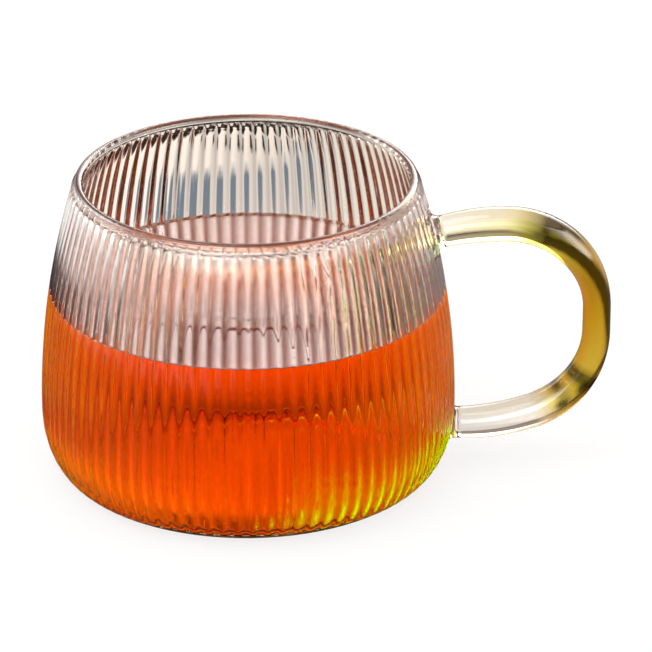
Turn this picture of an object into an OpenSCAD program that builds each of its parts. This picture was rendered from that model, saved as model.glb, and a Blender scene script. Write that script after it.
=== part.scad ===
/* [Bowl] */
// Widest outer diameter, measured over the rib crests
belly_d = 98; // [92:1:120]
// Outer diameter at the lip
rim_d = 80; // [70:1:90]
// Height from the foot to the top of the lip
bowl_h = 72.5; // [69:0.5:100]
// Height of the widest point
belly_z = 15; // [11:0.5:20]
// Diameter of the flat foot
foot_d = 82; // [70:1:90]
// Thickness of the glass between the rib valleys and the cavity
wall_t = 1.4; // [1:0.1:3.5]
// Thickness of the bottom
base_t = 2.5; // [1.5:0.5:8]
// Thickness of the rounded lip
lip_t = 2.2; // [1.6:0.1:4]
// Height of the plain band between the rounded lip and the ribs
lip_band_h = 1.1; // [0.4:0.1:6]

/* [Ribs] */
// Number of vertical ribs around the bowl
rib_count = 86; // [60:1:96]
// Depth of the valleys between the ribs
rib_depth = 0.7; // [0.2:0.1:1.2]
// Height over which each rib rounds off under the lip band
rib_end_h = 1.6; // [0.6:0.1:4]

/* [Handle] */
// Diameter of the glass rod along its two runs
rod_d = 8.2; // [6:0.1:11]
// Diameter of the rod where it meets the welds
rod_neck_d = 7.5; // [5:0.1:10]
// Thickness of the rod at its outer bend, seen from the side
rod_bend_t = 6.6; // [5:0.1:10]
// Length over which the rod swells from its neck to its full diameter
neck_run = 14; // [6:1:20]
// Depth of the rod's axis below the top of the lip, at the upper weld
upper_drop = 13.7; // [10:0.1:16]
// Height of the rod's axis at the lower weld
lower_z = 9.3; // [8:0.1:12]
// Slope of the rod where it leaves the upper weld, in degrees
leave_slope = 14; // [8:1:20]
// Radius of the long curve along the upper run
upper_run_r = 62; // [50:1:80]
// Radius of the upper bend
upper_bend_r = 21.4; // [18:0.2:25]
// Radius of the lower bend
lower_bend_r = 22.4; // [19:0.2:25]
// Angle that the lower bend turns through
lower_bend_turn = 70; // [62:1:74]

/* [Welds] */
// Length of the upper weld along the rod, at its axis
upper_weld_l = 1.9; // [1:0.1:4]
// Width of the flare of the upper weld on the wall
upper_flare = 2.3; // [0.5:0.1:4]
// Length of the lower weld along the rod, at its axis
lower_weld_l = 1.5; // [0.8:0.1:4]
// Width of the flare of the lower weld on the wall
lower_flare = 1.2; // [0.4:0.1:3]

/* [Hidden] */

// Overrun of every cut past the faces that it goes through
over = 1;
// Step by which the lip band stands proud of the rib crests
lip_step = 0.1;
// Steps along the corner, the side, the lip, the rod and the flare of a weld
corner_steps = 6;
side_steps = 5;
lip_steps = 12;
rod_steps = 56;
weld_steps = 6;
// Points across each rib and around the rod
rib_points = 4;
rod_points = 24;
// Share of the corner that the ribs take to fade out towards the foot
foot_fade_share = 0.35;
// Share of a rib's rounded end that lies below the ring cut through it
rib_end_share = 0.87;
// Facets of a full turn, for the parts and for the surface that the welds sit on
round_fn = 96;
seat_fn = 360;

belly_r = belly_d / 2;
rim_r = rim_d / 2;
foot_r = foot_d / 2;
band_z = bowl_h - lip_t / 2 - lip_band_h;

// The side is one arc, upright at the belly and ending at the lip
side_h = bowl_h - belly_z;
side_in = belly_r - rim_r;
side_r = (side_h * side_h + side_in * side_in) / (2 * side_in);

// Outer radius over the rib crests at a height, on the corner and on the side
function corner_radius(z) = foot_r + (belly_r - foot_r) * sqrt(max(0, 1 - pow(1 - z / belly_z, 2)));
function side_radius(z) = belly_r - side_r + sqrt(side_r * side_r - pow(z - belly_z, 2));
function crest_radius(z) = z < belly_z ? corner_radius(z) : side_radius(z);

// Heights of the rings of the ribbed wall, from the foot to the lip band
corner_zs = [for (i = [0 : corner_steps]) belly_z * (1 - cos(90 * i / corner_steps))];
rib_top_z = band_z - rib_end_h;
side_zs = [for (i = [1 : side_steps]) belly_z + (rib_top_z - belly_z) * i / side_steps];
end_zs = [rib_top_z + rib_end_h * rib_end_share, band_z];
ring_zs = concat(corner_zs, side_zs, end_zs);

// How much of the rib depth is cut at a height: none at the foot and at the band
fade_z = belly_z * foot_fade_share;
function rib_share(z) =
    z > rib_top_z ? sqrt(max(0, 1 - pow((z - rib_top_z) / rib_end_h, 2))) :
    z < fade_z ? z / fade_z : 1;
// Wavy rib section: 1 on the crest and 0 in the valley
function rib_section(i) = (1 + cos(360 * i / rib_points)) / 2;
function wall_radius(z, i) = crest_radius(z) - rib_depth * rib_share(z) * (1 - rib_section(i));

// Closed mesh through rings of points, each ring with the same count
module skin(rings) {
    n = len(rings[0]);
    m = len(rings);
    sides = [for (j = [0 : m - 2], i = [0 : n - 1], k = [0, 1])
        let (a = j * n + i, b = j * n + (i + 1) % n, c = a + n, d = b + n)
        k == 0 ? [a, c, b] : [b, c, d]];
    bottom = [for (i = [0 : n - 1]) i];
    top = [for (i = [n - 1 : -1 : 0]) (m - 1) * n + i];
    polyhedron([for (ring = rings) each ring], concat(sides, [bottom, top]));
}

// The ribbed body, solid, from the foot to the lip band
module ribbed_body() {
    count = rib_count * rib_points;
    skin([for (z = ring_zs) [for (i = [0 : count - 1])
        let (a = 360 * i / count, r = wall_radius(z, i)) [r * cos(a), r * sin(a), z]]]);
}

// Points of an elliptical arc in the half plane of a turned outline
function arc(centre, rx, rz, from, to, steps) =
    [for (i = [0 : steps]) let (a = from + (to - from) * i / steps) centre + [rx * cos(a), rz * sin(a)]];

// Cavity: the corner and the side again, one wall further in
cavity_in = rib_depth + wall_t;
lip_centre = [rim_r + lip_step - lip_t / 2, bowl_h - lip_t / 2];
lip_in_r = rim_r + lip_step - lip_t;
cavity_corner = arc([foot_r - cavity_in, belly_z],
    belly_r - foot_r, belly_z - base_t, -90, 0, corner_steps);
cavity_side = [for (i = [1 : side_steps])
    let (z = belly_z + (rib_top_z - belly_z) * i / side_steps) [side_radius(z) - cavity_in, z]];
module cavity() {
    rotate_extrude($fn = round_fn)
        polygon(concat([[0, base_t]], cavity_corner, cavity_side,
            [[lip_in_r, lip_centre[1]], [lip_in_r, bowl_h + over], [0, bowl_h + over]]));
}

// Lip band: a plain ring with a half-round top
module lip_band() {
    rotate_extrude($fn = round_fn)
        polygon(concat([[0, band_z], [side_radius(band_z) + lip_step, band_z]],
            arc(lip_centre, lip_t / 2, lip_t / 2, 0, 180, lip_steps),
            [[0, lip_centre[1]]]));
}

// Bowl: mould-blown ribbed glass with a fire-polished lip
module bowl() {
    color([0.86, 0.84, 0.83, 0.4])
        difference() {
            union() {
                ribbed_body();
                lip_band();
            }
            cavity();
        }
}

// The rod starts square to the wall at the upper weld and ends level at the lower one.
// Its lower run and the straight stretch between the bends take up what is left.
upper_z = bowl_h - upper_drop;
start_x = crest_radius(upper_z) + upper_weld_l;
end_x = crest_radius(lower_z) + lower_weld_l;
lower_run_r = (start_x + upper_run_r * sin(leave_slope) + upper_bend_r
    - lower_bend_r * (1 - cos(lower_bend_turn)) - end_x) / cos(lower_bend_turn);
grip_l = upper_z + upper_run_r * (1 - cos(leave_slope)) - upper_bend_r
    - lower_bend_r * sin(lower_bend_turn) - lower_run_r * (1 - sin(lower_bend_turn)) - lower_z;

// The rod's axis in the XZ plane, as [length, radius, turn], where a turn of 0 is straight
function bend(r, turn) = [PI * r * turn / 180, r, turn];
rod_axis = [bend(upper_run_r, leave_slope), bend(upper_bend_r, 90), [grip_l, 0, 0],
    bend(lower_bend_r, lower_bend_turn), bend(lower_run_r, 90 - lower_bend_turn)];

// Point and heading after a length s of one stretch, started at point p with heading h
function along(stretch, s, p, h) = stretch[2] == 0
    ? [p + s * [cos(h), sin(h)], h]
    : let (g = h - stretch[2] * s / stretch[0]) [p + stretch[1] * [sin(h) - sin(g), cos(g) - cos(h)], g];
function rod_at(s, k = 0, p = [start_x, upper_z], h = leave_slope) =
    k == len(rod_axis) - 1 || s <= rod_axis[k][0]
        ? along(rod_axis[k], s, p, h)
        : let (q = along(rod_axis[k], rod_axis[k][0], p, h)) rod_at(s - rod_axis[k][0], k + 1, q[0], q[1]);
function total(v, i = 0) = i == len(v) ? 0 : v[i][0] + total(v, i + 1);
rod_l = total(rod_axis);

// Diameter along the rod, and its thickness where the bend has been drawn thinner
function rod_width(s) = rod_neck_d + (rod_d - rod_neck_d) * sin(90 * min(1, min(s, rod_l - s) / neck_run));
function rod_thickness(s, h) = rod_width(s) - (rod_d - rod_bend_t) * pow(sin(h), 4);

// Handle: a solid amber glass rod, bent hot
module handle() {
    color([0.93, 0.80, 0.42, 0.7])
        skin([for (i = [0 : rod_steps])
            let (s = rod_l * i / rod_steps, q = rod_at(s), p = q[0], h = q[1],
                u = rod_thickness(s, h) / 2, v = rod_width(s) / 2)
            [for (j = [0 : rod_points - 1]) let (a = 360 * j / rod_points)
                [p[0] - u * cos(a) * sin(h), v * sin(a), p[1] + u * cos(a) * cos(h)]]]);
}

// Outside of the bowl over the rib crests, which the welds sit on
module crest_envelope() {
    rotate_extrude($fn = seat_fn)
        polygon(concat([[0, 0]], [for (z = ring_zs) [crest_radius(z), z]], [[0, band_z]]));
}

// One weld: a round pad that flares from the rod's end, at p, to the wall, in direction a
module weld(p, a, l, flare) {
    neck_r = rod_neck_d / 2;
    reach = l + flare + over;
    difference() {
        translate([p[0], 0, p[1]])
            rotate([0, 90 - a, 0])
                rotate_extrude($fn = round_fn)
                    polygon(concat([[0, 0]], arc([neck_r + flare, 0], flare, l, 180, 90, weld_steps),
                        [[neck_r + flare, reach], [0, reach]]));
        crest_envelope();
    }
}

module upper_weld() {
    color([0.88, 0.86, 0.82, 0.5])
        weld([start_x, upper_z], 180 + leave_slope, upper_weld_l, upper_flare);
}

module lower_weld() {
    color([0.90, 0.83, 0.66, 0.5])
        weld([end_x, lower_z], 180, lower_weld_l, lower_flare);
}

bowl();
handle();
upper_weld();
lower_weld();
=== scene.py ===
"""Ribbed tea mug: mould-blown clear glass, an amber glass rod handle, and tea in the bowl.

Laid out as an add-on and run as a script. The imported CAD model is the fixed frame. Every
piece rides on its body and stands where its CAD node is. Lengths are in metres.
"""

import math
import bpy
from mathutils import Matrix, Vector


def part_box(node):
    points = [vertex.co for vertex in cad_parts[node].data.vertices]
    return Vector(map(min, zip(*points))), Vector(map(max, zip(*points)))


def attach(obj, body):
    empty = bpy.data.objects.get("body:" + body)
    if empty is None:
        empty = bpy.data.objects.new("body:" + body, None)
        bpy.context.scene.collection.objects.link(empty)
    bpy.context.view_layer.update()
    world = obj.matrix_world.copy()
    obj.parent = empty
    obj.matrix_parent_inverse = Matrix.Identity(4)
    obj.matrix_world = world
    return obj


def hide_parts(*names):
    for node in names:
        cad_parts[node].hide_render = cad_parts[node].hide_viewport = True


bl_info = {
    "name": "Ribbed Tea Mug",
    "version": (1, 0, 0),
    "blender": (4, 5, 0),
    "location": "View3D > Sidebar > Tea Mug",
    "description": "Builds a ribbed glass tea mug around its packed CAD frame",
    "category": "Object",
}

from types import SimpleNamespace

import bmesh
import bpy
from bpy.props import (
    FloatProperty,
    FloatVectorProperty,
    IntProperty,
    PointerProperty,
)
from mathutils import Matrix, Vector, noise

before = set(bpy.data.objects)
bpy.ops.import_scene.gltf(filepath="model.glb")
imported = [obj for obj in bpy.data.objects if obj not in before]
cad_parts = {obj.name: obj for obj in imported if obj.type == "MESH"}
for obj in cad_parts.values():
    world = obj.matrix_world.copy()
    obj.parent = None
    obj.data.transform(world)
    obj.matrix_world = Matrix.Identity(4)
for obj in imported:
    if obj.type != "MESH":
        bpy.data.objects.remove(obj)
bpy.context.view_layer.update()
BOWL_LOW, BOWL_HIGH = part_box("bowl")

MM = 0.001
WEB = 0.01 * MM  # two points closer than this are one
GLASS_IOR = 1.47
TEA_IOR = 1.333
RIB_STEPS = 10  # steps across each rib, of the bowl and of the tea that fills it
FOOT_FADE = 0.35  # share of the rounded corner over which the flutes fade out at the foot
COATS = ("mirrored", "clear", "tea")  # what the backdrop shows, by how the light gets to it


def linear(code):
    """An sRGB hex value as linear red, green and blue."""
    parts = [int(code[i : i + 2], 16) / 255 for i in (0, 2, 4)]
    return [p / 12.92 if p <= 0.04045 else ((p + 0.055) / 1.055) ** 2.4 for p in parts]


def mixed(low, high, share):
    """A colour between two, at a share held between 0 and 1."""
    share = min(1, max(0, share))
    return [a + (b - a) * share for a, b in zip(low, high)]


def length(name, description, default):
    """A length that a user can change."""
    return FloatProperty(
        name=name, description=description, default=default, min=0, unit="LENGTH", precision=4
    )


def angle(name, description, degrees):
    """An angle that a user can change."""
    return FloatProperty(
        name=name, description=description, default=math.radians(degrees), unit="ROTATION"
    )


def colour(name, description, code):
    """A colour that a user can change, from an sRGB hex value."""
    return FloatVectorProperty(
        name=name, description=description, default=linear(code), subtype="COLOR", min=0, max=1
    )


def number(name, description, default):
    """A plain number that a user can change."""
    return FloatProperty(name=name, description=description, default=default, min=0)


class BowlSettings(bpy.types.PropertyGroup):
    belly_d: length("Belly", "Widest diameter, over the ribs", BOWL_HIGH.y - BOWL_LOW.y)
    height: length("Height", "From the foot to the top of the lip", BOWL_HIGH.z)
    rim_d: length("Rim", "Outer diameter at the lip", 80 * MM)
    belly_z: length("Belly height", "Height of the widest point", 15 * MM)
    foot_d: length("Foot", "Diameter of the flat foot", 82 * MM)
    wall: length("Wall", "Glass between the flutes and the cavity", 1.4 * MM)
    base: length("Base", "Thickness of the bottom", 2.5 * MM)
    lip: length("Lip", "Thickness of the rounded lip", 2.2 * MM)
    lip_step: length("Lip step", "How far the lip stands proud of the ribs", 0.1 * MM)
    band: length("Band", "Plain band between the rounded lip and the ribs", 1.1 * MM)
    ribs: IntProperty(name="Ribs", description="Ridges around the bowl", default=86, min=3)
    rib_depth: length("Rib depth", "Depth of the flutes between the ridges", 0.62 * MM)
    rib_end: length("Rib end", "Height over which a flute ends under the band", 1.6 * MM)
    swell: length("Swell", "How far the inner wall follows each ridge", 0.3 * MM)
    wave: length("Wave", "Unevenness of the blown inner wall", 0.04 * MM)
    cast: colour("Cast", "Colour that thick glass shows", "E7D6CB")
    density: number("Density", "Depth of that colour", 65)


class HandleSettings(bpy.types.PropertyGroup):
    rod_d: length("Rod", "Diameter of the glass rod along its runs", 8.2 * MM)
    neck_d: length("Neck", "Diameter of the rod at the welds", 7.5 * MM)
    bend_t: length("Bend", "Thickness where the bend was drawn thinner", 6.6 * MM)
    neck_run: length("Neck run", "Length over which the rod swells from its neck", 14 * MM)
    upper_drop: length("Upper drop", "Rod axis below the top of the lip", 13.7 * MM)
    lower_z: length("Lower height", "Height of the rod axis at the lower weld", 9.3 * MM)
    slope: angle("Slope", "Slope of the rod where it leaves the upper weld", 14)
    run_r: length("Upper run radius", "Radius of the long upper curve", 62 * MM)
    upper_r: length("Upper bend radius", "Radius of the upper bend", 21.4 * MM)
    lower_r: length("Lower bend radius", "Radius of the lower bend", 22.4 * MM)
    lower_turn: angle("Lower turn", "Angle that the lower bend turns through", 70)
    upper_weld: length("Upper weld", "Length of the upper weld at its axis", 1.9 * MM)
    upper_flare: length("Upper flare", "Width of the upper weld's flare", 2.3 * MM)
    lower_weld: length("Lower weld", "Length of the lower weld at its axis", 1.5 * MM)
    lower_flare: length("Lower flare", "Width of the lower weld's flare", 1.2 * MM)
    amber: colour("Amber", "Colour of the rod", "FDF7AA")
    density: number("Density", "Depth of that colour", 20)
    gather: colour("Gather", "Colour of the clear welds", "EFE0CC")
    gather_density: number("Gather density", "Depth of that colour", 30)


class TeaSettings(bpy.types.PropertyGroup):
    level: length("Level", "Height of the tea's surface", 43.9 * MM)
    climb: length("Climb", "How far the tea creeps up the glass", 0.45 * MM)
    creep: length("Creep", "Width of the curved edge of the surface", 0.6 * MM)
    sink: length("Sink", "How far the tea's skin lies inside the glass", 0.15 * MM)
    brew: colour("Brew", "Colour of the tea", "FDEE00")
    density: number("Density", "Strength of the tea", 212)


class StageSettings(bpy.types.PropertyGroup):
    tilt: angle("Tilt", "How far the camera looks down", 24.65)
    distance: length("Distance", "From the camera to the point that it looks at", 0.990)
    aim_x: length("Aim across", "The point that the camera looks at, along X", 18.4 * MM)
    aim_z: length("Aim height", "The height that the camera looks at", 34.4 * MM)
    reach: length("Reach", "Radius of the backdrop", 1.5)
    cream: colour("Cream", "Light half of the backdrop's floor", "FBF0E4")
    shade: colour("Shade", "Dark half of the backdrop's floor", "AFA7A2")
    dusk: colour("Dusk", "Darkest brown of the backdrop", "2A1D18")
    sky: colour("Sky", "Colour of the softboxes", "FFF9F6")
    glow: number("Glow", "Brightness of the softboxes", 10.0)
    lens_px: number("Lens", "Focal length, in pixels", 4200)
    frame_px: IntProperty(name="Frame", description="Width of the picture, in pixels", default=652)


class MugSettings(bpy.types.PropertyGroup):
    bowl: PointerProperty(type=BowlSettings)
    handle: PointerProperty(type=HandleSettings)
    tea: PointerProperty(type=TeaSettings)
    stage: PointerProperty(type=StageSettings)


def plain(group):
    """A group's settings as plain numbers, which are quicker to read."""
    return SimpleNamespace(**{key: getattr(group, key) for key in type(group).__annotations__})


def crest_radius(b, z):
    """Outer radius over the ridges at a height: a rounded corner, then one long arc."""
    belly, foot = b.belly_d / 2, b.foot_d / 2
    if z < b.belly_z:
        return foot + (belly - foot) * math.sqrt(max(0, 1 - (1 - z / b.belly_z) ** 2))
    rise, lean = b.height - b.belly_z, belly - b.rim_d / 2
    arc = (rise**2 + lean**2) / (2 * lean)
    return belly - arc + math.sqrt(arc**2 - (z - b.belly_z) ** 2)


def band_z(b):
    """Height of the lower edge of the plain band."""
    return b.height - b.lip / 2 - b.band


def spread(low, high, steps):
    """Values from low to high in even steps, without the first."""
    return [low + (high - low) * i / steps for i in range(1, steps + 1)]


def outer_points(b):
    """Radius and height of the outside, from the middle of the foot to the band."""
    corner = [b.belly_z * (1 - math.cos(math.pi / 2 * i / 12)) for i in range(13)]
    top = band_z(b) - b.rib_end
    heights = corner + spread(b.belly_z, top, 20) + spread(top, band_z(b), 12)
    return [(0, 0), (b.foot_d / 4, 0)] + [(crest_radius(b, z), z) for z in heights]


def lip_points(b):
    """Radius and height of the band and the rounded lip, outside to inside."""
    middle = b.rim_d / 2 + b.lip_step - b.lip / 2
    low = b.height - b.lip / 2
    step_z = band_z(b) + b.lip_step
    turn = [math.pi * i / 14 for i in range(15)]
    return [(crest_radius(b, step_z) + b.lip_step, step_z)] + [
        (middle + b.lip / 2 * math.cos(a), low + b.lip / 2 * math.sin(a)) for a in turn
    ]


def inner_points(b, grow=0.0):
    """Radius and height of the inside, from under the lip to the middle of the bottom."""
    step = b.rib_depth + b.wall - grow
    top = band_z(b) - b.rib_end
    side = [(crest_radius(b, z) - step, z) for z in reversed(spread(b.belly_z, top, 16))]
    wide, tall = (b.belly_d - b.foot_d) / 2, b.belly_z - b.base + grow
    turn = [math.pi / 2 * i / 10 for i in range(11)]
    corner = [
        (b.foot_d / 2 - step + wide * math.cos(a), b.belly_z - tall * math.sin(a)) for a in turn
    ]
    return side + corner + [(b.foot_d / 4, b.base - grow), (0, b.base - grow)]


def rod_axis(b, h):
    """The rod's stretches as (length, radius, turn), its start and its end point."""
    upper_z = b.height - h.upper_drop
    start = Vector((crest_radius(b, upper_z) + h.upper_weld, 0, upper_z))
    end = Vector((crest_radius(b, h.lower_z) + h.lower_weld, 0, h.lower_z))
    turn = h.lower_turn
    last_r = (
        start.x
        + h.run_r * math.sin(h.slope)
        + h.upper_r
        - h.lower_r * (1 - math.cos(turn))
        - end.x
    ) / math.cos(turn)
    grip = (
        upper_z
        + h.run_r * (1 - math.cos(h.slope))
        - h.upper_r
        - h.lower_r * math.sin(turn)
        - last_r * (1 - math.sin(turn))
        - h.lower_z
    )
    bends = [(h.run_r, h.slope), (h.upper_r, math.pi / 2)]
    more = [(h.lower_r, turn), (last_r, math.pi / 2 - turn)]
    stretches = [(r * a, r, a) for r, a in bends] + [(grip, 0, 0)]
    return stretches + [(r * a, r, a) for r, a in more], start, end


def rod_place(stretches, start, heading, s):
    """The point and heading after a length s along the rod's axis."""
    p = start.copy()
    for run, radius, turn in stretches:
        part = min(s, run) if run is not stretches[-1][0] else s
        if turn:
            after = heading - turn * part / run
            p.x += radius * (math.sin(heading) - math.sin(after))
            p.z += radius * (math.cos(after) - math.cos(heading))
            heading = after
        else:
            p += part * Vector((math.cos(heading), 0, math.sin(heading)))
        s -= part
        if s <= 0:
            break
    return p, heading


def turned(points, sectors, steps):
    """A closed turned shape: the outline is spun over one sector, which is then repeated."""
    bm = bmesh.new()
    chain = [bm.verts.new((r, 0, z)) for r, z in points]
    edges = [bm.edges.new(pair) for pair in zip(chain, chain[1:])]
    sector = 2 * math.pi / sectors
    about = {"cent": (0, 0, 0), "axis": (0, 0, 1)}
    bmesh.ops.spin(bm, geom=chain + edges, angle=sector, steps=steps, **about)
    whole = list(bm.verts) + list(bm.edges) + list(bm.faces)
    more = sectors - 1
    bmesh.ops.spin(bm, geom=whole, angle=more * sector, steps=more, use_duplicate=True, **about)
    bmesh.ops.remove_doubles(bm, verts=bm.verts, dist=WEB)
    bmesh.ops.recalc_face_normals(bm, faces=bm.faces)
    return bm


def finish_piece(bm, name, material, nodes):
    """Turns a bmesh into a smooth piece on the body, standing for its CAD nodes."""
    for face in bm.faces:
        face.smooth = True
    mesh = bpy.data.meshes.new(name)
    bm.to_mesh(mesh)
    bm.free()
    mesh.materials.append(material)
    piece = bpy.data.objects.new(name, mesh)
    bpy.context.scene.collection.objects.link(piece)
    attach(piece, "root")
    if nodes:
        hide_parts(*nodes)
    return piece


def weld_ends(b, h):
    """For each weld: the rod's end point, the direction into the wall, length and flare."""
    _, start, end = rod_axis(b, h)
    into = Vector((-math.cos(h.slope), 0, -math.sin(h.slope)))
    return {
        "upper_weld": (start, into, h.upper_weld, h.upper_flare),
        "lower_weld": (end, Vector((-1, 0, 0)), h.lower_weld, h.lower_flare),
    }


def filled(welds, neck_d, point):
    """How far the flutes are filled at a point: 1 under a weld, 0 away from it."""
    soft = 0.8 * MM  # over this, a flute runs out at a weld's edge
    most = 0
    for start, into, _, flare in welds:
        away = point - start
        if away.dot(into) < 0:
            continue
        reach = (away - into * away.dot(into)).length - (neck_d / 2 + flare)
        most = max(most, min(1, max(0, 0.5 - reach / soft)))
    return most


def flute_cut(b, z, turn):
    """Depth of the flute at a height, where turn counts the ridges passed."""
    top = band_z(b) - b.rib_end
    if z > top:
        keep = math.sqrt(max(0, 1 - ((z - top) / b.rib_end) ** 2))
    else:
        keep = min(1, z / (b.belly_z * FOOT_FADE))
    return b.rib_depth * max(0, math.sin(math.pi * turn) ** 2 - (1 - keep))


def inner_swell(b, z, turn):
    """How far the inner wall swells out behind a ridge."""
    top = band_z(b) - b.rib_end
    keep = min(1, (top - z) / (4 * MM), (z - b.base) / (b.belly_z * 0.5))
    return b.swell * max(0, keep) * math.cos(math.pi * turn) ** 2


def ridges_passed(b, point):
    """The turn of a point about the axis, counted in ridges."""
    return math.atan2(point.y, point.x) / (2 * math.pi) * b.ribs


def meet(b, point, into, sink):
    """How far along a line the bowl's wall lies, at a depth of sink under its ridges."""
    low, high = 0.0, 20 * MM
    halvings = 40
    for _ in range(halvings):
        t = (low + high) / 2
        p = point + into * t
        inside = math.hypot(p.x, p.y) < crest_radius(b, p.z) - sink
        low, high = (low, t) if inside else (t, high)
    return high


def add(tree, kind, values=None, links=None, **settings):
    """Adds a node with its settings, the values of its sockets and its links."""
    node = tree.nodes.new(kind)
    for key, value in settings.items():
        setattr(node, key, value)
    for key, value in (values or {}).items():
        node.inputs[key].default_value = value
    for key, source in (links or {}).items():
        tree.links.new(source, node.inputs[key])
    return node


def new_material(name):
    """An empty node material and its output node."""
    material = bpy.data.materials.new(name)
    material.use_nodes = True
    material.node_tree.nodes.clear()
    return material, add(material.node_tree, "ShaderNodeOutputMaterial")


def glass(name, tint, absorb, density, ior, bump, grain, layer=None):
    """Solid glass or a liquid, both polished: its surface, what it absorbs and its waviness.

    The waves are bump high and 1 / grain metres wide. A layer paints the surface by vertex.
    """
    material, out = new_material(name)
    tree = material.node_tree
    place = add(tree, "ShaderNodeTexCoord")
    ripple = add(
        tree,
        "ShaderNodeTexNoise",
        {"Scale": grain, "Detail": 2.0, "Roughness": 0.45},
        {"Vector": place.outputs["Object"]},
    )
    bumps = add(
        tree,
        "ShaderNodeBump",
        {"Strength": 1.0, "Distance": bump},
        {"Height": ripple.outputs["Fac"]},
    )
    surface = add(
        tree,
        "ShaderNodeBsdfPrincipled",
        {
            "Base Color": (*linear(tint), 1),
            "Roughness": 0.0,
            "IOR": ior,
            "Transmission Weight": 1.0,
        },
        {"Normal": bumps.outputs["Normal"]},
    )
    if layer:
        tones_and_reflections = add(tree, "ShaderNodeAttribute", attribute_name=layer)
        tree.links.new(tones_and_reflections.outputs["Color"], surface.inputs["Base Color"])
    volume = add(
        tree, "ShaderNodeVolumeAbsorption", {"Color": (*absorb, 1), "Density": density}
    )
    tree.links.new(surface.outputs["BSDF"], out.inputs["Surface"])
    tree.links.new(volume.outputs["Volume"], out.inputs["Volume"])
    return material


# Colours of the rod, by millimetres from the upper weld: inner side, middle, outer side. They are
# partly the rod's amber and partly painted reflection: the peach outer edge, the orange on the
# inner side and the grey-white lower run
ROD_TONES_AND_REFLECTIONS = (
    (0, "EFE9A4", "FFFEF6", "F6E2D4"),
    (14, "E4DC6C", "FDF8D2", "F3D6C2"),
    (20, "DCD25C", "EDE27C", "EFCCB2"),
    (26, "D9CF66", "D2C044", "EBC3A4"),
    (33, "DDB454", "C4A434", "DDB08C"),
    (41, "E8924A", "B88A24", "C2936C"),
    (50, "D08A24", "C99820", "5A3C30"),
    (62, "C08A2C", "D2AE3A", "8E6434"),
    (70, "C08E30", "CFAE38", "B98A34"),
    (76, "C99A58", "D8C66C", "BF8E48"),
    (82, "E0C4A4", "E4E4EC", "DDBE9C"),
    (130, "E8D6C2", "E4E4EC", "E6CDB6"),
)


def rod_tone_and_reflection(s, side):
    """Colour of the rod at a length along it, its amber with painted reflection, where side runs
    from -1 inside to 1.
    """
    reach = min(max(0, s / MM), ROD_TONES_AND_REFLECTIONS[-1][0] - 1)  # a little within the last row
    for low, high in zip(ROD_TONES_AND_REFLECTIONS, ROD_TONES_AND_REFLECTIONS[1:]):
        if reach < high[0]:
            break
    share = (reach - low[0]) / (high[0] - low[0])
    pairs = zip(low[1:], high[1:])
    inner, middle, outer = (mixed(linear(a), linear(b), share) for a, b in pairs)
    tone = mixed(middle, outer if side > 0 else inner, (abs(side) - 0.35) / 0.45)
    # A dark streak that winds from the inner side of the upper bend to its outer side
    away = abs(side - (reach - 28) / 26) / 0.24
    tone = mixed(tone, linear("1C1402"), min(2.2 - away, (reach - 17) / 7, (66 - reach) / 6))
    # Two dark flecks in the lower bend
    for middle_s, middle_side in ((68, 0.3), (74, 0.1)):
        away = math.hypot((reach - middle_s) / 2, (side - middle_side) / 0.3)
        tone = mixed(tone, linear("26240A"), 1.6 - away)
    return tone


def painted_glow_backdrop(name):
    """A glowing backdrop that paints the reflections that the glass and the tea show: one coat
    mirrored, one through clear glass, one through tea.
    """
    material, out = new_material(name)
    tree = material.node_tree
    coats = {
        coat: add(tree, "ShaderNodeAttribute", attribute_name=coat).outputs["Color"]
        for coat in COATS
    }
    path = add(tree, "ShaderNodeLightPath")
    deep = add(
        tree,
        "ShaderNodeMath",
        {1: 5.5},
        {0: path.outputs["Transmission Depth"]},
        operation="GREATER_THAN",
    )
    turned_back = add(
        tree,
        "ShaderNodeMath",
        {1: 0.5},
        {0: path.outputs["Glossy Depth"]},
        operation="GREATER_THAN",
    )
    light = add(
        tree,
        "ShaderNodeMix",
        links={0: turned_back.outputs[0], 6: coats["clear"], 7: coats["mirrored"]},
        data_type="RGBA",
    )
    shown = add(
        tree,
        "ShaderNodeMix",
        links={0: deep.outputs[0], 6: light.outputs[2], 7: coats["tea"]},
        data_type="RGBA",
    )
    glow = add(tree, "ShaderNodeEmission", links={"Color": shown.outputs[2]})
    tree.links.new(glow.outputs["Emission"], out.inputs["Surface"])
    material.cycles.emission_sampling = "NONE"
    return material


# Patches on the floor behind the mug, which its back wall shows: place, half size, colour
PATCHES = (
    ((-29, 160), (20, 18), "7C8A96"),
    ((8, 208), (12, 12), "3A3430"),
)

# Light from the backdrop that is no mix of the stage's colours, as linear red, green and blue
BLACK = (0.0, 0.0, 0.0)
WHITE = (1.0, 1.0, 1.0)
PALE = linear("F2EDDF")
NEAR_RIGHT, NEAR_LEFT, FAR_RIGHT = (0.26, 0.25, 0.25), (0.045, 0.04, 0.04), (0.85, 0.78, 0.76)
BETWEEN_BOXES = (0.3, 0.27, 0.26)
BRIGHT = (1.6, 1.6, 1.6)
TEA_INNER_FLOOR, TEA_LOW_WALL = (0.42, 0.42, 0.42), (0.9, 0.7, 0.5)
TEA_BACK, TEA_RIGHT = (1.5, 1.5, 1.2), (2.8, 4.4, 1.6)
TEA_FAR_LEFT, TEA_SHAPES = (1.4, 25.0, 0.3), (0.08, 0.05, 0.04)


def sway(azimuth, crest):
    """From 0 to 1 and back four times round the mug, so that each view gets its stripes."""
    return 0.5 + 0.5 * math.cos(math.radians(4 * (azimuth - crest)))


def sides(azimuth):
    """How far a direction is to the left and to the right of the mug: 1 or more is all."""
    left = 1.5 - abs((azimuth + 10) % 360 - 180) / 60
    right = 1.2 - abs(azimuth - 40) / 25
    return left, right


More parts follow.
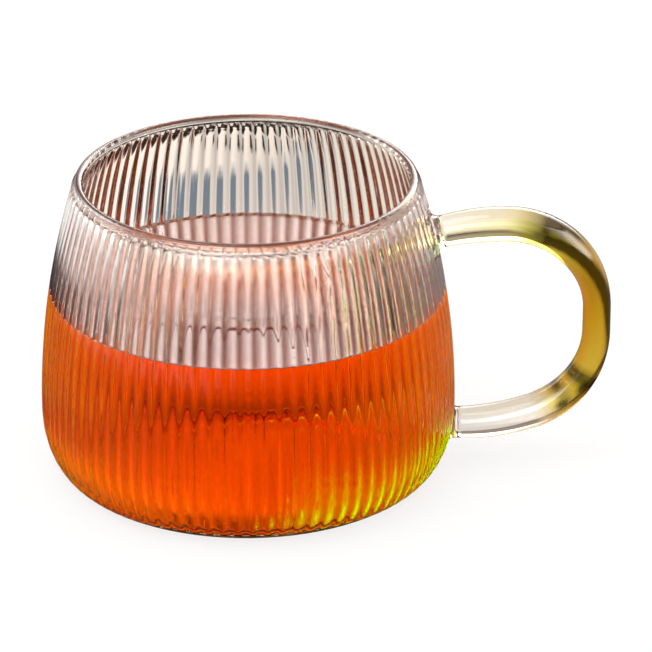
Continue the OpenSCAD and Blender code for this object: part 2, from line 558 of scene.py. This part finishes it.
def floor_coats(s, place):
    """The three coats of the backdrop's floor at a point."""
    r = math.hypot(place.x, place.y) / MM
    azimuth = math.degrees(math.atan2(place.y, place.x))
    # Through the tea: painted shadow under the mug, and bright from a little beyond its foot
    brew = mixed(mixed(s.dusk, s.cream, 0.15), TEA_INNER_FLOOR, (r - 30) / 12)
    brew = mixed(brew, BRIGHT, (r - 47) / 19)
    # Painted shadow under the mug, in all three coats
    if r < 45:
        return s.dusk, s.dusk, brew
    # Through clear glass: a grey or white ring, which the lip shows, then the bands that the
    # back wall shows, cream and grey by turns, and dark beyond them
    if r < 138:
        front = min((76 - azimuth) / 10, (azimuth + 100) / 10)
        clear = mixed(linear("94847B"), WHITE, front)
    elif r < 232 + max(0, azimuth - 88):
        clear = mixed(s.shade, [1.25 * c for c in s.cream], sway(azimuth, 112))
    elif r < 500:
        clear = s.dusk
    else:
        clear = linear("A08C82")
    clear = mixed(clear, PALE, min((82 - azimuth) / 8, r / 40 - 2.5))
    for (x, y), (wide, deep), code in PATCHES:
        away = max(abs(place.x / MM - x) / wide, abs(place.y / MM - y) / deep)
        clear = mixed(clear, linear(code), 3 * (1.2 - away))
    # Mirrored in the wall: dark near the mug, and paler further out at both sides
    left, right = sides(azimuth)
    near = mixed(mixed(s.dusk, BLACK, 0.6), NEAR_LEFT, left)
    near = mixed(near, NEAR_RIGHT, right)
    mirrored = mixed(near, WHITE, min(left, r / 60 - 3.8))
    mirrored = mixed(mirrored, FAR_RIGHT, min(right, r / 60 - 4))
    return mirrored, clear, brew


def wall_coats(s, place):
    """The three coats of the backdrop's wall at a point."""
    azimuth = math.degrees(math.atan2(place.y, place.x))
    lift = math.degrees(math.atan2(place.z, s.reach))
    # A row of softboxes, high on the wall, lights the glass
    box = [s.glow * c for c in s.sky]
    lit = mixed(BETWEEN_BOXES, box, sway(azimuth, 67.5))
    high = min((lift - 11) / 4, (42 - lift) / 3)
    clear = mixed(mixed(s.shade, PALE, (82 - azimuth) / 8), lit, high)
    left, right = sides(azimuth)
    mirrored = mixed(mixed(s.dusk, BRIGHT, left), FAR_RIGHT, right)
    mirrored = mixed(mirrored, lit, high)
    # Through the tea: yellow light from the right, and a strong green from behind the left
    low = min(1, (27 - lift) / 4)
    tea = mixed(TEA_BACK, TEA_RIGHT, min(low, (84 - azimuth) / 6, (azimuth - 20) / 10))
    behind = min(low, (azimuth - 90 - lift) / 6, (150 - azimuth) / 8)
    tea = mixed(tea, TEA_FAR_LEFT, behind)
    # Dark shapes low down and soft clouds, which the tea shows as streaks
    dark = min((22 - lift) / 4, (90 - azimuth) / 4, (azimuth - 64) / 4)
    tea = mixed(tea, TEA_SHAPES, dark)
    cloud = 1 + 0.7 * noise.noise(Vector((azimuth / 9, lift / 4, 0)))
    tea = [c * cloud for c in tea]
    return mirrored, clear, mixed(TEA_LOW_WALL, tea, (lift - 5) / 4)


class TEAMUG_OT_bowl(bpy.types.Operator):
    """Builds the mould-blown bowl with its flutes and rounded lip"""

    bl_idname = "teamug.bowl"
    bl_label = "Build Bowl"

    def execute(self, context):
        b, h = plain(context.scene.tea_mug.bowl), plain(context.scene.tea_mug.handle)
        welds = list(weld_ends(b, h).values())
        bm = turned(outer_points(b) + lip_points(b) + inner_points(b), b.ribs, RIB_STEPS)
        for v in bm.verts:
            r, z = math.hypot(v.co.x, v.co.y), v.co.z
            if r < WEB:
                continue
            out = v.co.xy / r
            if z <= band_z(b) and abs(r - crest_radius(b, z)) < WEB:
                cut = flute_cut(b, z, ridges_passed(b, v.co))
                if v.co.x > 0.9 * r:
                    cut *= 1 - filled(welds, h.neck_d, v.co)
                v.co.xy -= out * cut
            elif b.base - WEB < z < band_z(b) - b.rib_end:
                wave = noise.noise(v.co * 110) + 0.5 * noise.noise(v.co * 310)
                v.co.xy += out * (b.wave * wave + inner_swell(b, z, ridges_passed(b, v.co)))
                if z < b.base + WEB:
                    v.co.z += b.wave * wave
        # Borosilicate glass, mould-blown and fire-polished: clear, with a faint warm cast
        # where it is thick and a slight waviness that bends what lies behind it
        material = glass(
            "Mould-blown borosilicate glass",
            "FFFDFB",
            b.cast,
            b.density,
            GLASS_IOR,
            0.02 * MM,
            160,
        )
        finish_piece(bm, "bowl_glass", material, ["bowl"])
        return {"FINISHED"}


class TEAMUG_OT_handle(bpy.types.Operator):
    """Bends the amber glass rod into the handle"""

    bl_idname = "teamug.handle"
    bl_label = "Build Handle"

    def execute(self, context):
        b, h = plain(context.scene.tea_mug.bowl), plain(context.scene.tea_mug.handle)
        stretches, start, _ = rod_axis(b, h)
        whole = sum(s[0] for s in stretches)
        over = 0.3 * MM  # how far each end goes into its weld
        inset = 0.05 * MM  # how much thinner it is there
        stations = [-over, -WEB] + [whole * i / 140 for i in range(141)]
        stations += [whole + WEB, whole + over]

        def station(s):
            """The rod's section at a length along it, as the place of a unit circle."""
            p, heading = rod_place(stretches, start, h.slope, s)
            near = min(1, max(0, min(s, whole - s) / h.neck_run))
            width = h.neck_d + (h.rod_d - h.neck_d) * math.sin(math.pi / 2 * near)
            thick = width - (h.rod_d - h.bend_t) * math.sin(heading) ** 4
            if s < 0 or s > whole:
                width, thick = width - 2 * inset, thick - 2 * inset
            else:
                drift = noise.noise(Vector((s * 90, 3.7, 0))) * 0.08 * MM
                width, thick = width + drift, thick + drift
            place = Matrix.Translation(p) @ Matrix.Rotation(math.pi / 2 - heading, 4, "Y")
            return place @ Matrix.Diagonal((thick / 2, width / 2, 1, 1))

        def paint(verts, s, place):
            """Gives a ring's vertices the colour of the glass there, painted reflection included.
            """
            for v in verts:
                side = -(place.inverted() @ v.co).x
                v[tones_and_reflections] = (*rod_tone_and_reflection(s, side), 1)

        bm = bmesh.new()
        tones_and_reflections = bm.verts.layers.float_color.new("tones_and_reflections")
        here = station(stations[0])
        ring = bmesh.ops.create_circle(bm, cap_ends=True, radius=1, segments=48, matrix=here)
        paint(ring["verts"], stations[0], here)
        edges = list({e for v in ring["verts"] for e in v.link_edges})
        for s in stations[1:]:
            after = station(s)
            made = bmesh.ops.extrude_edge_only(bm, edges=edges)["geom"]
            verts = [g for g in made if isinstance(g, bmesh.types.BMVert)]
            held = set(verts)
            edges = [
                g
                for g in made
                if isinstance(g, bmesh.types.BMEdge) and all(v in held for v in g.verts)
            ]
            bmesh.ops.transform(bm, matrix=after @ here.inverted(), verts=verts)
            here = after
            paint(verts, s, here)
        bmesh.ops.edgeloop_fill(bm, edges=edges)
        bmesh.ops.recalc_face_normals(bm, faces=bm.faces)
        # Amber borosilicate rod, bent over a flame: pale yellow seen across, deeper gold
        # where the light runs along it
        # Its surface colour is the rod's tones layer: the amber with painted reflection.
        material = glass(
            "Amber borosilicate rod",
            "FFFEFA",
            h.amber,
            h.density,
            GLASS_IOR,
            0.03 * MM,
            90,
            layer="tones_and_reflections",
        )
        finish_piece(bm, "handle_rod", material, ["handle"])
        return {"FINISHED"}


class TEAMUG_OT_welds(bpy.types.Operator):
    """Builds the two gathers of glass that join the rod to the bowl"""

    bl_idname = "teamug.welds"
    bl_label = "Build Welds"

    def execute(self, context):
        b, h = plain(context.scene.tea_mug.bowl), plain(context.scene.tea_mug.handle)
        # Clear gather, pressed on hot: it fills the flutes under it and pulls the light
        material = glass(
            "Clear weld glass",
            "FFFEFC",
            h.gather,
            h.gather_density,
            GLASS_IOR,
            0.03 * MM,
            200,
        )
        pad_sink, edge_sink = 0.3 * MM, 0.12 * MM  # how deep a weld's face and edge go
        for name, (start, into, run, flare) in weld_ends(b, h).items():
            neck = h.neck_d / 2
            wide = neck + flare
            turn = [math.pi / 2 * i / 12 for i in range(13)]
            side = [(wide - flare * math.cos(a), run * math.sin(a)) for a in turn]
            face = [(wide * (1 - i / 6), run) for i in range(1, 7)]
            bm = turned([(0, 0), (neck / 2, 0)] + side + face, 8, 9)
            frame_of = into.to_track_quat("Z", "Y").to_matrix().to_4x4()
            for v in bm.verts:
                rho = math.hypot(v.co.x, v.co.y)
                share = v.co.z / run
                root = start + frame_of @ Vector((v.co.x, v.co.y, 0))
                on_edge = rho > wide - WEB and v.co.z > run - WEB
                deep = meet(b, root, into, edge_sink if on_edge else pad_sink)
                v.co = root + into * deep * share
            bmesh.ops.recalc_face_normals(bm, faces=bm.faces)
            finish_piece(bm, name + "_glass", material.copy(), [name])
        return {"FINISHED"}


class TEAMUG_OT_tea(bpy.types.Operator):
    """Pours the tea, with its surface creeping up the glass"""

    bl_idname = "teamug.tea"
    bl_label = "Pour Tea"

    def execute(self, context):
        b, t = plain(context.scene.tea_mug.bowl), plain(context.scene.tea_mug.tea)
        steps = 12
        reach = 4 * t.creep  # how far from the glass the surface is still curved
        edge_z = t.level + t.climb
        rim = crest_radius(b, edge_z) - b.rib_depth - b.wall + t.sink
        below = [(r, z) for r, z in inner_points(b, t.sink) if z < t.level - 1 * MM]
        skin = []
        for i in range(steps + 1):
            back = reach * (i / steps) ** 2
            fade = math.exp(-back / t.creep)
            skin.append((rim - t.sink * min(1, 2 * i) - back, t.level + t.climb * fade))
        inward = [(rim * (1 - i / 8) * 0.86, t.level) for i in range(9)]
        edge = [(rim, edge_z - 0.08 * MM), (rim, edge_z)]
        points = list(reversed(below)) + edge + skin[1:] + inward
        bm = turned(points, b.ribs, RIB_STEPS)
        for v in bm.verts:
            r = math.hypot(v.co.x, v.co.y)
            if r < WEB:
                continue
            hold = 1 if v.co.z < t.level - 0.5 * MM else max(0, 1 - (rim - r) / (4 * MM))
            swell = inner_swell(b, min(v.co.z, edge_z), ridges_passed(b, v.co))
            v.co.xy += v.co.xy / r * swell * hold
        # Black tea, strained: clear and deep orange, redder where it is deeper
        material = glass(
            "Strained black tea",
            "FFFFFF",
            t.brew,
            t.density,
            TEA_IOR,
            0.01 * MM,
            60,
        )
        finish_piece(bm, "tea", material, [])
        return {"FINISHED"}


class TEAMUG_OT_stage(bpy.types.Operator):
    """Sets the floor, the painted backdrop, the soft light and the camera"""

    bl_idname = "teamug.stage"
    bl_label = "Set Stage"

    def execute(self, context):
        scene, s = context.scene, context.scene.tea_mug.stage
        self.floor(scene)
        self.world(scene)
        self.backdrop(scene, s)
        self.lamps(scene)
        self.camera(scene, s)
        scene.view_settings.view_transform = "Standard"
        scene.cycles.max_bounces = 28
        scene.cycles.transmission_bounces = 28
        scene.cycles.glossy_bounces = 12
        scene.cycles.transparent_max_bounces = 16
        return {"FINISHED"}

    def seen(self, tree):
        """1 where the camera sees a surface, directly or in glass."""
        path = add(tree, "ShaderNodeLightPath")
        some = add(
            tree,
            "ShaderNodeMath",
            links={
                0: path.outputs["Is Camera Ray"],
                1: path.outputs["Is Glossy Ray"],
            },
            operation="MAXIMUM",
        )
        return add(
            tree,
            "ShaderNodeMath",
            links={0: some.outputs[0], 1: path.outputs["Is Transmission Ray"]},
            operation="MAXIMUM",
        ).outputs[0]

    def floor(self, scene):
        """A wide pale floor just under the foot, which keeps a faint shadow."""
        bm = bmesh.new()
        bmesh.ops.create_circle(
            bm,
            cap_ends=True,
            radius=8,
            segments=64,
            matrix=Matrix.Translation((0, 0, -0.2 * MM)),
        )
        mesh = bpy.data.meshes.new("floor")
        bm.to_mesh(mesh)
        bm.free()
        # White laminate: matt, so that it shows nothing but the shadow
        material, out = new_material("White laminate floor")
        tree = material.node_tree
        matt = add(tree, "ShaderNodeBsdfDiffuse", {"Color": (*linear("F4F3F1"), 1)})
        glow = add(tree, "ShaderNodeEmission", {"Color": (1, 1, 1, 1), "Strength": 1.0})
        share = add(
            tree,
            "ShaderNodeMath",
            {1: 0.8},
            {0: self.seen(tree)},
            operation="MULTIPLY",
        )
        mix = add(
            tree,
            "ShaderNodeMixShader",
            links={0: share.outputs[0], 1: matt.outputs[0], 2: glow.outputs[0]},
        )
        tree.links.new(mix.outputs[0], out.inputs["Surface"])
        mesh.materials.append(material)
        floor = bpy.data.objects.new("floor", mesh)
        scene.collection.objects.link(floor)

    def world(self, scene):
        """White all round where it is seen, and a plain level of light elsewhere."""
        world = bpy.data.worlds.new("Pale studio")
        scene.world = world
        world.use_nodes = True
        tree = world.node_tree
        tree.nodes.clear()
        mix = add(
            tree,
            "ShaderNodeMix",
            {"A": 1.15, "B": 1.0},
            {"Factor": self.seen(tree)},
        )
        back = add(
            tree,
            "ShaderNodeBackground",
            {"Color": (1, 1, 1, 1)},
            {"Strength": mix.outputs["Result"]},
        )
        out = add(tree, "ShaderNodeOutputWorld")
        tree.links.new(back.outputs[0], out.inputs["Surface"])

    def backdrop(self, scene, s):
        """A painted backdrop all round, which only shows in the glass and the tea."""
        low = -0.1 * MM
        # Rings in millimetres, closer together where the floor's bands meet
        radii = [0, 20, 30, 38, 44, 46, 50, 54, 62, 80, 100, 120, 136, *range(139, 230, 6)]
        radii += [233, 237, 241, 247, 260, 300, 400, 498, 502, 1000]
        heights = [s.reach * math.tan(math.radians(a)) for a in range(1, 46, 2)]
        edge = [(r * MM, low) for r in radii] + [(s.reach, low)]
        edge += [(s.reach, z) for z in heights]
        bm = turned(edge, 60, 3)
        layers = {coat: bm.verts.layers.float_color.new(coat) for coat in COATS}
        for v in bm.verts:
            coats = floor_coats(s, v.co) if v.co.z < 0 else wall_coats(s, v.co)
            for coat, code in zip(COATS, coats):
                v[layers[coat]] = (*code, 1)
        mesh = bpy.data.meshes.new("backdrop")
        bm.to_mesh(mesh)
        bm.free()
        # A glowing painted backdrop: it gives the painted reflections in the glass and the painted
        # shadow under the mug, and it throws no shadow
        mesh.materials.append(painted_glow_backdrop("Painted glowing backdrop"))
        backdrop = bpy.data.objects.new("backdrop", mesh)
        scene.collection.objects.link(backdrop)
        backdrop.visible_camera = False
        backdrop.visible_diffuse = False
        backdrop.visible_shadow = False

    def lamps(self, scene):
        """One soft lamp above."""
        light = bpy.data.lights.new("overhead_soft", "AREA")
        light.shape = "DISK"
        light.size = 0.7
        light.energy = 4
        lamp = bpy.data.objects.new("overhead_soft", light)
        lamp.location = (-0.35, -0.2, 1.1)
        aim = Vector((0, 0, 0.04)) - lamp.location
        lamp.rotation_euler = aim.to_track_quat("-Z", "Y").to_euler()
        scene.collection.objects.link(lamp)

    def camera(self, scene, s):
        """The camera, at the photograph's angle."""
        data = bpy.data.cameras.new("camera")
        data.sensor_width = 36
        data.lens = s.lens_px * data.sensor_width / s.frame_px
        data.clip_start = 0.01
        camera = bpy.data.objects.new("camera", data)
        camera.location = (
            s.aim_x,
            -s.distance * math.cos(s.tilt),
            s.aim_z + s.distance * math.sin(s.tilt),
        )
        camera.rotation_euler = (math.pi / 2 - s.tilt, 0, 0)
        scene.collection.objects.link(camera)
        scene.camera = camera


class TEAMUG_PT_panel(bpy.types.Panel):
    """Sizes of the mug and the steps that build it"""

    bl_idname = "TEAMUG_PT_panel"
    bl_label = "Ribbed Tea Mug"
    bl_space_type = "VIEW_3D"
    bl_region_type = "UI"
    bl_category = "Tea Mug"

    def draw(self, context):
        settings = context.scene.tea_mug
        for part in ("bowl", "handle", "tea", "stage"):
            box = self.layout.box()
            box.label(text=part.capitalize())
            group = getattr(settings, part)
            for key in type(group).__annotations__:
                box.prop(group, key)
        for operator in OPERATORS:
            self.layout.operator(operator.bl_idname)


SETTINGS = (BowlSettings, HandleSettings, TeaSettings, StageSettings, MugSettings)
OPERATORS = (
    TEAMUG_OT_bowl,
    TEAMUG_OT_handle,
    TEAMUG_OT_welds,
    TEAMUG_OT_tea,
    TEAMUG_OT_stage,
)


def register():
    for each in (*SETTINGS, *OPERATORS, TEAMUG_PT_panel):
        bpy.utils.register_class(each)
    bpy.types.Scene.tea_mug = PointerProperty(type=MugSettings)


def unregister():
    del bpy.types.Scene.tea_mug
    for each in reversed((*SETTINGS, *OPERATORS, TEAMUG_PT_panel)):
        bpy.utils.unregister_class(each)


def main():
    """Builds the whole mug on its stage."""
    register()
    bpy.ops.teamug.bowl()
    bpy.ops.teamug.handle()
    bpy.ops.teamug.welds()
    bpy.ops.teamug.tea()
    bpy.ops.teamug.stage()


if __name__ == "__main__":
    main()
